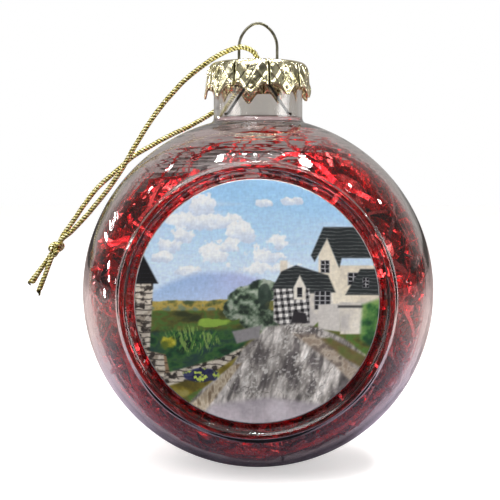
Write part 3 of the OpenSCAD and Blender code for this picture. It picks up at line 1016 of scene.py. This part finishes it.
def slate(x, z, seed):
    """Dark slate roof with fine pale courses."""
    courses = ramp(np.abs((z * 34 + 0.8 * cloudy(x, z, 12, seed)) % 1 - 0.5), 0.30, 0.48)
    return blend((38, 44, 46), (122, 128, 126), courses * (0.25 + 0.75 * cloudy(x, z, 26, seed + 1)))


def plaster(x, z, seed):
    return mottled(x, z, [(196, 192, 188), (226, 220, 206), (240, 236, 224)], 7, seed)


def gingham(x, z, size=0.052):
    """Pale cloth woven with black checks."""
    up_stripe = ramp(np.abs(((x + 0.12 * z) / size) % 1 - 0.5), 0.23, 0.29)
    side_stripe = ramp(np.abs(((z - 0.10 * x) / size) % 1 - 0.5), 0.23, 0.29)
    threads = 0.85 + 0.3 * cloudy(x * 3, z, 30, 144)
    return blend((232, 230, 226), (22, 22, 26), np.clip((up_stripe + side_stripe) / 2 * threads, 0, 1))


def paint_over(picture, x, z, corners, colour, soft=0.008):
    return blend(picture, colour, inside(x, z, corners, soft))


def paint_shapes(picture, x, z, shapes):
    """Paints polygons in turn; each is (corners, colour) or (corners, colour, softness)."""
    for corners, colour, *soft in shapes:
        picture = paint_over(picture, x, z, corners, colour, *soft)
    return picture


def paint_window(picture, x, z, left, low, width, height, panes=(2, 3)):
    """Dark panes behind pale bars."""
    frame_corners = box_corners(left, low, left + width, low + height)
    picture = paint_over(picture, x, z, frame_corners, (24, 26, 32), 0.006)
    across = np.abs(((x - left) / width * panes[0]) % 1 - 0.5)
    up = np.abs(((z - low) / height * panes[1]) % 1 - 0.5)
    bars = np.maximum(ramp(across, 0.34, 0.46), ramp(up, 0.36, 0.47))
    return blend(picture, (214, 214, 216), inside(x, z, frame_corners, 0.006) * bars * 0.85)


def paint_barn(picture, x, z):
    boards = ramp(np.abs((z * 30) % 1 - 0.5), 0.40, 0.48) * 0.6
    courses = ramp(np.abs((z * 16) % 1 - 0.5), 0.38, 0.47)
    return paint_shapes(picture, x, z, [
        ([(-1.1, -0.55), (-0.88, -0.55), (-0.84, 0.16), (-1.1, 0.16)], stone(x, z, 130)),
        ([(-1.1, 0.43), (-0.93, 0.40), (-0.80, 0.15), (-1.1, 0.145)],
         blend((12, 14, 18), (52, 56, 62), boards)),
        ([(-0.90, -0.62), (-0.70, -0.62), (-0.74, -0.43), (-0.90, -0.40)],
         blend((150, 122, 92), (70, 54, 42), courses))])


def paint_far_cottage(picture, x, z, wall, roof):
    picture = paint_shapes(picture, x, z, [
        ([(0.50, -0.05), (0.50, 0.38), (0.57, 0.54), (0.66, 0.30), (1.0, 0.30), (1.0, -0.10)],
         blend(wall, (236, 224, 196), 0.5 * np.ones(x.shape))),
        ([(0.44, 0.38), (0.54, 0.61), (0.98, 0.61), (1.02, 0.36), (0.69, 0.36), (0.67, 0.28),
          (0.57, 0.52), (0.47, 0.33)], roof)])
    for left, low, width, height in ((0.52, 0.24, 0.07, 0.10), (0.74, 0.14, 0.09, 0.10)):
        picture = paint_window(picture, x, z, left, low, width, height)
    picture = paint_over(picture, x, z, [(0.72, 0.06), (0.84, 0.27), (1.0, 0.27), (1.0, 0.06)], roof)
    return paint_window(picture, x, z, 0.86, 0.12, 0.05, 0.08)


def paint_near_cottage(picture, x, z, wall, roof):
    picture = paint_shapes(picture, x, z, [
        (box_corners(0.19, 0.20, 0.25, 0.34), (228, 220, 204)),
        ([(0.14, -0.15), (0.14, 0.12), (0.62, 0.12), (0.62, -0.05), (0.46, -0.20)], wall),
        ([(0.12, 0.10), (0.20, 0.25), (0.32, 0.30), (0.58, 0.22), (0.64, 0.08), (0.40, 0.07)], roof),
        ([(0.14, -0.15), (0.14, 0.11), (0.43, 0.11), (0.43, -0.17), (0.20, -0.20)], gingham(x, z)),
        ([(0.30, 0.02), (0.30, 0.12), (0.35, 0.22), (0.40, 0.12), (0.40, 0.02)], wall)])
    for left, low, width, height in ((0.33, 0.04, 0.04, 0.08), (0.47, -0.06, 0.13, 0.15)):
        picture = paint_window(picture, x, z, left, low, width, height, (3, 4))
    return paint_over(picture, x, z, [(0.28, -0.17), (0.42, -0.17), (0.40, -0.09), (0.30, -0.07)],
                      (44, 42, 46))


def paint_cottages(picture, x, z):
    wall, roof = plaster(x, z, 140), slate(x, z, 142)
    picture = paint_far_cottage(picture, x, z, wall, roof)
    picture = paint_near_cottage(picture, x, z, wall, roof)
    hedge = mottled(x, z, [(24, 66, 44), (70, 122, 60), (132, 164, 92)], 12, 152)
    return paint_shapes(picture, x, z, [
        ([(0.50, -0.22), (0.50, -0.02), (0.68, -0.01), (0.68, -0.24)], (208, 204, 198)),
        ([(0.68, -0.26), (0.67, 0.0), (0.88, 0.0), (0.86, -0.26)], plaster(x, z, 150)),
        (box_corners(0.66, -0.045, 0.89, -0.025), (70, 70, 72)),
        ([(0.86, -0.02), (1.05, 0.05), (1.05, -0.45), (0.84, -0.30)], hedge, 0.02)])


def gravel(x, z):
    """Grey gravel with long strokes, pale specks and dark cracks."""
    along, across = x * 0.6 + z, x - z * 0.35
    stones = mottled(along, across, [(84, 80, 80), (132, 128, 124), (158, 154, 150), (190, 186, 182)],
                     5, 160, (1, 2.6))
    strokes = cloudy(along * 2.2, across * 8, 7, 162) - 0.5
    stones = stones * (1.15 + 0.9 * strokes)[..., None]
    specks = ramp(cloudy(x, z, 56, 163, 2), 0.60, 0.74) * ramp(cloudy(x, z, 4, 164), 0.3, 0.7)
    stones = blend(stones, (232, 230, 226), specks * 0.8)
    cracks = ramp(np.abs(cloudy(x, z, 6, 165) - 0.5), 0.012, 0.0)
    return blend(stones, (62, 58, 58), cracks * 0.55)


def paint_lane(picture, x, z):
    """The lane with its verges, walls and flower bed."""
    wall_shade = 0.45 * ramp(cloudy(x, z, 26, 171), 0.45, 0.6)
    picture = paint_shapes(picture, x, z, [
        ([(0.08, -0.20), (0.34, -0.17), (0.52, -0.21), (0.72, -0.30), (1.0, -0.52), (1.0, -1.05),
          (-0.65, -1.05), (-0.58, -0.86), (-0.20, -0.45), (-0.02, -0.30)], gravel(x, z), 0.015),
        ([(0.44, -0.30), (0.60, -0.29), (1.0, -0.50), (1.0, -0.62)],
         mottled(x, z, [(70, 64, 50), (112, 96, 60), (96, 108, 56)], 10, 166), 0.015),
        ([(0.30, -0.26), (0.48, -0.26), (0.95, -0.66), (0.86, -0.74), (0.62, -0.50)],
         mottled(x, z, [(150, 134, 118), (186, 174, 158), (110, 98, 90)], 22, 168), 0.02),
        ([(-0.20, -0.24), (0.04, -0.19), (0.02, -0.29), (-0.16, -0.34)], (150, 148, 150), 0.01),
        ([(-0.80, -0.60), (-0.30, -0.46), (-0.10, -0.36), (-0.14, -0.44), (-0.34, -0.58), (-0.70, -0.72)],
         blend(stone(x, z, 170), (34, 32, 30), wall_shade), 0.012),
        ([(-0.72, -0.69), (-0.34, -0.57), (-0.16, -0.45), (-0.20, -0.52), (-0.40, -0.68), (-0.62, -0.80)],
         mottled(x, z, [(88, 80, 26), (134, 120, 38), (160, 152, 84)], 12, 173), 0.012)])
    flowers = ramp(cloudy(x, z, 26, 176), 0.56, 0.64)
    bed = blob(x, z, (-0.46, -0.60), (0.15, 0.06), 177, 0.4)
    picture = blend(picture, (20, 30, 84), bed * 0.8)
    picture = blend(picture, (198, 220, 96), bed * flowers)
    return paint_shapes(picture, x, z, [
        ([(-0.56, -0.86), (-0.20, -0.52), (-0.12, -0.50), (-0.42, -0.90)],
         mottled(x, z, [(124, 106, 84), (206, 194, 172), (168, 152, 128)], 14, 178, (2.4, 1)), 0.012),
        ([(-0.62, -1.1), (-0.36, -0.84), (0.10, -0.78), (0.55, -0.84), (0.8, -1.1)],
         mottled(x, z, [(162, 156, 162), (184, 176, 182), (196, 190, 196)], 5, 180), 0.03)])


def paint_picture(x, z):
    """A generic country lane under a summer sky, in sRGB from 0 to 1, on a disc of radius 1."""
    picture = paint_hills(paint_sky(x, z), x, z)
    picture = paint_tree(paint_verge(picture, x, z), x, z)
    picture = paint_cottages(paint_barn(picture, x, z), x, z)
    picture = paint_lane(picture, x, z)
    picture = paint_over(picture, x, z, [(-0.90, -0.62), (-0.74, -0.62), (-0.76, -0.43), (-0.90, -0.40)],
                         stone(x, z, 190))
    # the land in deeper colours than the sky
    land = ramp(z + 0.75 * ramp(x, 0.1, 0.5) * ramp(z, 0.7, 0.6), 0.02, -0.06)
    picture = picture * (1.03 - 0.12 * land * ramp(z, -0.85, -0.75))[..., None]
    grain = 0.95 + 0.10 * cloudy(x, z, 60, 200, 2)
    return np.clip(picture * grain[..., None] / 255, 0, 1)


def printed_metal():
    """A glossy coloured print with a fine woven grain."""
    material, tree, shader = new_material("printed_metal", {
        "Roughness": 0.42, "Coat Weight": 0.35, "Coat Roughness": 0.12})
    print_colour = node(tree, "ShaderNodeAttribute", attribute_name="picture").outputs["Color"]
    weave = noise(tree, 2200, 1, (1, 1, 0.35))
    cross = noise(tree, 2200, 1, (0.35, 1, 1))
    grain = node(tree, "ShaderNodeMath", {0: weave, 1: cross}, operation="ADD").outputs[0]
    shade = colour_ramp(tree, value_ramp(tree, grain, 0.6, 1.4, 0, 1), [
        (0.0, (0.86, 0.86, 0.87)), (1.0, (1.0, 1.0, 1.0))])
    fill_inputs(tree, shader, {"Base Color": multiply(tree, print_colour, shade),
                               "Normal": bump(tree, grain, 0.02 * MM, 0.5)})
    return material


def bare_metal():
    """Brushed aluminium of the discs' cut edges and backs."""
    material, tree, shader = new_material("bare_metal", {"Metallic": 1.0})
    brushed = noise(tree, 900, 3, (1, 6, 1))
    fill_inputs(tree, shader, {
        "Base Color": colour_ramp(tree, brushed, [(0.3, (0.40, 0.40, 0.41)), (0.7, (0.60, 0.60, 0.62))]),
        "Roughness": value_ramp(tree, brushed, 0.3, 0.7, 0.25, 0.45)})
    return material


def make_disc(name, cad_node, side, print_material, edge_material):
    """A printed metal disc with soft edges; side is -1 for the front and 1 for the back."""
    count = 281
    edge_r = 0.2 * MM
    face_r = DISC_R - edge_r
    line = np.linspace(-1, 1, count)
    across, up = np.meshgrid(line, line)
    x = across * np.sqrt(1 - up ** 2 / 2) * face_r
    z = up * np.sqrt(1 - across ** 2 / 2) * face_r
    points = np.stack([x, np.full(x.shape, side * DISC_FACE_Y), z + BALL_Z], axis=-1).reshape(-1, 3).tolist()
    faces = [(i * count + j, i * count + j + 1, (i + 1) * count + j + 1, (i + 1) * count + j)
             for i in range(count - 1) for j in range(count - 1)]
    printed = len(faces)
    last = count - 1
    ring = ([j for j in range(last)] + [i * count + last for i in range(last)]
            + [last * count + j for j in range(last, 0, -1)] + [i * count for i in range(last, 0, -1)])
    directions = [unit([points[n][0], points[n][2] - BALL_Z]) for n in ring]
    rows = [(face_r + edge_r * math.sin(a), DISC_FACE_Y - edge_r * (1 - math.cos(a)))
            for a in np.radians([30, 60, 90])]
    rows += [(DISC_R, DISC_BACK_Y + 0.05 * MM), (DISC_R - 0.05 * MM, DISC_BACK_Y),
             (DISC_R * 0.6, DISC_BACK_Y)]
    for r, y in rows:
        next_ring = list(range(len(points), len(points) + len(ring)))
        points += [(d[0] * r, side * y, BALL_Z + d[1] * r) for d in directions]
        faces += ring_faces(ring, next_ring)
        ring = next_ring
    centre = len(points)
    points.append((0, side * DISC_BACK_Y, BALL_Z))
    faces += [(ring[i], ring[(i + 1) % len(ring)], centre) for i in range(len(ring))]
    disc = mesh_piece(name, points, faces, print_material)
    disc.data.materials.append(edge_material)
    disc.data.polygons.foreach_set("material_index", [0] * printed + [1] * (len(faces) - printed))
    face_outwards(disc)
    places = np.array(points)
    seen_x = places[:, 0] * -side / DISC_R
    srgb = paint_picture(seen_x, (places[:, 2] - BALL_Z) / DISC_R)
    linear = np.where(srgb <= 0.04045, srgb / 12.92, ((srgb + 0.055) / 1.055) ** 2.4)
    colours = np.hstack([linear, np.ones((len(linear), 1))]).astype(np.float32)
    attribute = disc.data.color_attributes.new("picture", "FLOAT_COLOR", "POINT")
    attribute.data.foreach_set("color", colours.ravel())
    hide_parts(cad_node)
    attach(disc, "bauble")


def adhesive_film():
    """White double-sided film with a slightly mottled surface."""
    material, tree, shader = new_material("adhesive_film", {"Roughness": 0.6})
    patch = noise(tree, 300, 3)
    fill_inputs(tree, shader, {
        "Base Color": colour_ramp(tree, patch, [(0.3, (0.72, 0.72, 0.70)), (0.7, (0.86, 0.86, 0.85))]),
        "Normal": bump(tree, patch, 0.05 * MM, 0.4)})
    return material


def make_pictures():
    print_material, edge_material = printed_metal(), bare_metal()
    make_disc("picture_disc_front", "front_disc", -1, print_material, edge_material)
    make_disc("picture_disc_back", "back_disc", 1, print_material, edge_material)
    film = adhesive_film()
    for name in ("front_film", "back_film"):
        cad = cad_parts[name]
        cad.data.materials.clear()
        cad.data.materials.append(film)


make_pictures()

# ---------------------------------------------------------------- crown cap
CAP_T = 0.3 * MM
CAP_EDGE_R = 1.2 * MM
CAP_TOP_R = 11.2 * MM
CAP_SKIRT_R = 12.0 * MM
CAP_POINTS = 9
POINT_H = 2.3 * MM
FIRST_POINT = math.radians(7)
WIRE_HOLE_R = 0.62 * MM
POST_X = 4.36 * MM


def cap_metal():
    """Thin pale gold metal, bright on the pressed ridges by their shape, with painted shade dark in the
    folds.
    """
    material, tree, shader = new_material("cap_metal", {"Metallic": 1.0})
    rub = noise(tree, 420, 4)
    fine = noise(tree, 2600, 2)
    gold = colour_ramp(tree, rub, [
        (0.3, (0.70, 0.63, 0.34)), (0.55, (0.90, 0.85, 0.57)), (0.8, (0.98, 0.95, 0.76))])
    fold = node(tree, "ShaderNodeAttribute", attribute_name="fold").outputs["Fac"]
    # painted shade: the metal is darkened almost to black in the folds between the panels
    shade = colour_ramp(tree, fold, [(0.25, (1.0, 1.0, 1.0)), (0.75, (0.10, 0.09, 0.05))])
    fill_inputs(tree, shader, {
        "Base Color": multiply(tree, gold, shade),
        "Roughness": value_ramp(tree, rub, 0.3, 0.7, 0.10, 0.26),
        "Normal": bump(tree, fine, 0.03 * MM, 0.5)})
    return material


def from_panel_middle(around):
    """Distance round the skirt from the nearest point's middle, and half a panel's width."""
    panel = math.tau / CAP_POINTS
    return ((around + panel / 2) % panel - panel / 2) * CAP_SKIRT_R, panel / 2 * CAP_SKIRT_R


def cap_fold(around, z):
    """1 in the middle of a fold between two panels and 0 away from it."""
    distance, half = from_panel_middle(around)
    return np.exp(-((half - np.abs(distance)) / (0.20 * MM)) ** 2) * ramp(CAP_TOP - z, 0.3 * MM, 1.0 * MM)


def cap_pressing(around, z, bottom):
    """How far the metal stands out at an angle and a height: folds, diamonds, dots and dents."""
    distance, half = from_panel_middle(around)
    swell = 0.16 * MM * np.cos(distance / half * math.pi / 2)
    drop = (CAP_TOP - CAP_EDGE_R * 0.4 - z) / (3.9 * MM)
    side = distance / (2.7 * MM)
    lines = np.minimum(np.abs((side + drop + 0.5) % 1 - 0.5), np.abs((side - drop + 0.5) % 1 - 0.5))
    ridge = 0.15 * MM * np.exp(-(lines / 0.07) ** 2)
    border = 0.16 * MM * np.exp(-((z - bottom - 0.55 * MM) / (0.22 * MM)) ** 2)
    dots = np.zeros_like(z)
    for dx, dz in ((-0.5, 0.5), (0.5, 0.5), (0.0, 0.72), (0.0, 0.28), (-0.28, 1.0), (0.28, 1.0), (0.0, 1.5)):
        dots += 0.22 * MM * np.exp(-(((side - dx) * 2.7) ** 2 + ((drop - dz) * 3.9) ** 2) / 0.26 ** 2)
    dents = 0.22 * MM * (cloudy(around * CAP_SKIRT_R / MM, z / MM, 0.55, 300, 2) - 0.5)
    inner = ramp(half - np.abs(distance), 0.3 * MM, 0.8 * MM)
    under_edge = ramp(CAP_TOP - z, 0.5 * MM, 1.6 * MM)
    return (swell + (ridge + border + dots) * inner + dents) * under_edge - 0.42 * MM * cap_fold(around, z)


def cap_bottom(around, rng):
    """Height of the skirt's pointed edge at each angle."""
    panel = math.tau / CAP_POINTS
    from_point = np.abs(from_panel_middle(around)[0])
    tip = rng.uniform(0, 0.25, CAP_POINTS)[np.round(around / panel).astype(int) % CAP_POINTS] * MM
    rise = ramp(from_point, 0.2 * MM, 2.7 * MM) ** 0.85
    return CAP_LOW + tip + (POINT_H - tip) * rise


def make_cap():
    columns, skirt_rows = 720, 44
    rng = np.random.default_rng(5)
    around = np.arange(columns) * math.tau / columns
    bottom = cap_bottom(around, rng)
    corner_z = CAP_TOP - CAP_EDGE_R
    surfaces = []
    for inset in (0.0, CAP_T):
        rows = [(np.full(columns, r * MM), np.full(columns, CAP_TOP - inset))
                for r in (1.2, 3, 5, 7, 8.8, 9.6)]
        for a in np.radians([90, 78, 66, 54, 42, 30, 18, 6]):
            rows.append((np.full(columns, CAP_TOP_R - CAP_EDGE_R + (CAP_EDGE_R - inset) * math.cos(a)),
                         np.full(columns, corner_z + (CAP_EDGE_R - inset) * math.sin(a))))
        for s in np.linspace(0, 1, skirt_rows):
            z = corner_z + (bottom - corner_z) * s
            flare = (corner_z - z) / (corner_z - CAP_LOW)
            rows.append((CAP_TOP_R + (CAP_SKIRT_R - CAP_TOP_R) * flare - inset, z))
        surfaces.append([(r + cap_pressing(around, z, bottom) * (r > 9.8 * MM), z) for r, z in rows])
    # angle 0 is the first point, which is turned from the front
    direction = around - math.pi / 2 - FIRST_POINT
    points, rings, folds = [], [], []
    for surface in surfaces:
        for r, z in surface:
            folds.append(cap_fold(around, z))
            rings.append(list(range(len(points), len(points) + columns)))
            points += np.stack([r * np.cos(direction), r * np.sin(direction), z], axis=1).tolist()
    half = len(rings) // 2
    order = rings[:half] + rings[half:][::-1]
    faces = [face for low, high in zip(order, order[1:]) for face in ring_faces(low, high)]
    for ring, z in ((rings[0], CAP_TOP), (rings[half], CAP_TOP - CAP_T)):
        centre = len(points)
        points.append([0, 0, z])
        faces += [(ring[i], ring[(i + 1) % columns], centre) for i in range(columns)]
    cap = mesh_piece("gold_cap", points, faces, cap_metal())
    # the fold attribute carries the painted shade in the folds
    attribute = cap.data.attributes.new("fold", "FLOAT", "POINT")
    attribute.data.foreach_set("value", np.concatenate([*folds, [0, 0]]).astype(np.float32))
    face_outwards(cap)
    cut_wire_holes(cap)
    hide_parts("crown_cap")
    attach(cap, "cap")


def cut_wire_holes(cap):
    cutters = []
    for side in (-1, 1):
        line = np.array([[side * POST_X, 0, CAP_TOP - MM], [side * POST_X, 0, CAP_TOP + MM]])
        points, faces = tube_mesh(line, (1, 0, 0), WIRE_HOLE_R, 32)
        cutter = mesh_piece("cutter", points, faces, cap.data.materials[0])
        face_outwards(cutter)
        cut = cap.modifiers.new("hole", "BOOLEAN")
        cut.object = cutter
        cut.solver = "EXACT"
        cutters.append(cutter)
    ready = cap.evaluated_get(bpy.context.evaluated_depsgraph_get())
    mesh = bpy.data.meshes.new_from_object(ready)
    cap.modifiers.clear()
    cap.data = mesh
    for cutter in cutters:
        bpy.data.objects.remove(cutter)


make_cap()

# ---------------------------------------------------------------- hanger wire
LOOP_TOP_R = 2.9 * MM
POST_TOP = 95.2 * MM
LOOP_DROP = LOOP_TOP - POST_TOP
LOOP_SIDE_R = (LOOP_DROP ** 2 - 2 * LOOP_DROP * LOOP_TOP_R + POST_X ** 2) / (2 * (POST_X - LOOP_TOP_R))
LOOP_TURN = math.degrees(math.atan2(LOOP_SIDE_R - POST_X, LOOP_DROP - LOOP_TOP_R))
POST_L = POST_TOP - (CAP_TOP - CAP_T) + 0.3 * MM


def dark_steel():
    """Dull olive-grey spring steel, with painted shade darkening it below the cap."""
    material, tree, shader = new_material("dark_steel", {"Metallic": 1.0})
    stain = noise(tree, 700, 3)
    steel = colour_ramp(tree, stain, [(0.3, (0.10, 0.095, 0.065)), (0.7, (0.26, 0.25, 0.19))])
    # painted shade: the wire is darkened below 88 mm, where the cap shades it
    under_cap_shade = colour_ramp(tree, value_ramp(tree, height_above_base(tree), 0.088, 0.090, 0, 1), [
        (0.0, (0.16, 0.12, 0.09)), (1.0, (1.0, 1.0, 1.0))])
    fill_inputs(tree, shader, {
        "Base Color": multiply(tree, steel, under_cap_shade),
        "Roughness": value_ramp(tree, stain, 0.3, 0.7, 0.3, 0.5)})
    return material


def half_wire():
    """From the loop's top down one side, in x and z: straight lengths, each with a bend after it."""
    steps = [(0, LOOP_TOP_R, LOOP_TURN), (0, LOOP_SIDE_R, 90 - LOOP_TURN), (POST_L, 1 * MM, 36),
             (3 * MM, 0.8 * MM, -70), (8 * MM, 0.5 * MM, -50), (0.5 * MM, 0, 0)]
    place, heading = np.array([0.0, LOOP_TOP]), 0.0
    line = [place]
    for length, bend_r, turn in steps:
        if length:
            for s in (0.5, 1.0):
                line.append(place + s * length * np.array([math.cos(heading), -math.sin(heading)]))
            place = line[-1]
        bends = max(1, round(abs(turn) / 6))
        for _ in range(bends if turn else 0):
            chord = 2 * bend_r * math.sin(math.radians(abs(turn)) / bends / 2)
            heading += math.radians(turn) / bends / 2
            place = place + chord * np.array([math.cos(heading), -math.sin(heading)])
            heading += math.radians(turn) / bends / 2
            line.append(place)
    return line


def make_wire():
    right = half_wire()
    line = [(-x, 0, z) for x, z in right[:0:-1]] + [(x, 0, z) for x, z in right]
    points, faces = tube_mesh(np.array(line), (0, 1, 0), WIRE_R, 16)
    wire = mesh_piece("hanger_loop", points, faces, dark_steel())
    face_outwards(wire)
    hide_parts("hanger_wire")
    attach(wire, "hanger")


make_wire()
